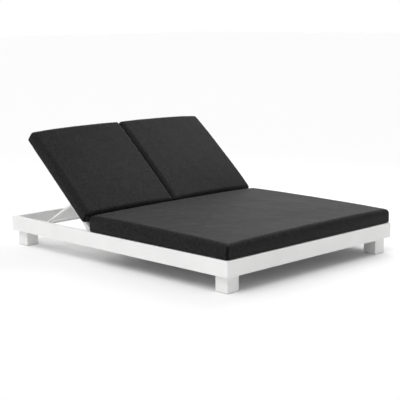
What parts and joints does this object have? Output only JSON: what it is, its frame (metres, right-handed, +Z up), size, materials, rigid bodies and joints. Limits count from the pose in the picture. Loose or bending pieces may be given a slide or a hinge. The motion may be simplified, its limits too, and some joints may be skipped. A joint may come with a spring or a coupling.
{
  "type": "double chaise lounger",
  "caption": "Low double chaise lounger: a white metal frame on square legs, one wide seat cushion and two back halves that recline separately on notched props.",
  "frame": {"origin": "middle of the footprint on the floor, below the middle of the frame", "axes": "+X across to the right as one lies on it, +Y from the foot end to the head end, +Z up"},
  "size_m": [1.5, 2, 0.7742],
  "materials": {
    "white_powder_coat": "fine satin powder coat",
    "stainless_steel": "satin",
    "cushion_fabric": "charcoal woven outdoor cloth",
    "glide_plastic": "matte",
    "washer_plastic": "matte"
  },
  "bodies": {
    "frame_body": {"side_rail_left": "white_powder_coat", "side_rail_right": "white_powder_coat", "foot_rail": "white_powder_coat", "head_rail": "white_powder_coat", "leg_foot_left": "white_powder_coat", "leg_foot_right": "white_powder_coat", "leg_head_left": "white_powder_coat", "leg_head_right": "white_powder_coat", "leg_glides": "glide_plastic", "leg_bolts": "stainless_steel", "seat_ledge_left": "white_powder_coat", "seat_ledge_right": "white_powder_coat", "head_ledge": "white_powder_coat", "seat_centre_beam": "white_powder_coat", "hinge_beam": "white_powder_coat", "rear_centre_beam": "white_powder_coat", "seat_slat_1": "white_powder_coat", "seat_slat_2": "white_powder_coat", "seat_slat_3": "white_powder_coat", "seat_slat_4": "white_powder_coat", "seat_slat_5": "white_powder_coat", "seat_slat_6": "white_powder_coat", "seat_slat_7": "white_powder_coat", "seat_slat_8": "white_powder_coat", "centre_hinge_plate": "white_powder_coat", "side_hinge_bolts": "stainless_steel", "centre_hinge_bolt": "stainless_steel", "hinge_washers": "washer_plastic", "rack_left": "white_powder_coat", "rack_right": "white_powder_coat", "rack_centre": "white_powder_coat", "rack_screws": "stainless_steel", "seat_cushion": "cushion_fabric"},
    "back_left_body": {"back_frame_left": "white_powder_coat", "back_slat_left_1": "white_powder_coat", "back_slat_left_2": "white_powder_coat", "back_slat_left_3": "white_powder_coat", "back_slat_left_4": "white_powder_coat", "back_slat_left_5": "white_powder_coat", "prop_pins_left": "stainless_steel", "back_cushion_left": "cushion_fabric"},
    "prop_left_body": {"prop_left": "white_powder_coat", "prop_eyes_left": "white_powder_coat"},
    "back_right_body": {"back_frame_right": "white_powder_coat", "back_slat_right_1": "white_powder_coat", "back_slat_right_2": "white_powder_coat", "back_slat_right_3": "white_powder_coat", "back_slat_right_4": "white_powder_coat", "back_slat_right_5": "white_powder_coat", "prop_pins_right": "stainless_steel", "back_cushion_right": "cushion_fabric"},
    "prop_right_body": {"prop_right": "white_powder_coat", "prop_eyes_right": "white_powder_coat"}
  },
  "joints": [
    {"name": "recline_left", "type": "hinge", "parent": "frame_body", "child": "back_left_body", "pos_m": [-0.388, 0.211, 0.1695], "axis": [1, 0, 0], "range_deg": [-41, 9.5]},
    {"name": "prop_swing_left", "type": "hinge", "parent": "back_left_body", "child": "prop_left_body", "pos_m": [-0.361, 0.41747, 0.34898], "axis": [1, 0, 0], "range_deg": [-16.74, 71.58]},
    {"name": "recline_right", "type": "hinge", "parent": "frame_body", "child": "back_right_body", "pos_m": [0.388, 0.211, 0.1695], "axis": [1, 0, 0], "range_deg": [-41, 9.5]},
    {"name": "prop_swing_right", "type": "hinge", "parent": "back_right_body", "child": "prop_right_body", "pos_m": [0.361, 0.41747, 0.34898], "axis": [1, 0, 0], "range_deg": [-16.74, 71.58]}
  ],
  "couplings": [
    {"joint": "prop_swing_left", "follows": "recline_left", "ratio": -1.7409},
    {"joint": "prop_swing_right", "follows": "recline_right", "ratio": -1.7409}
  ]
}
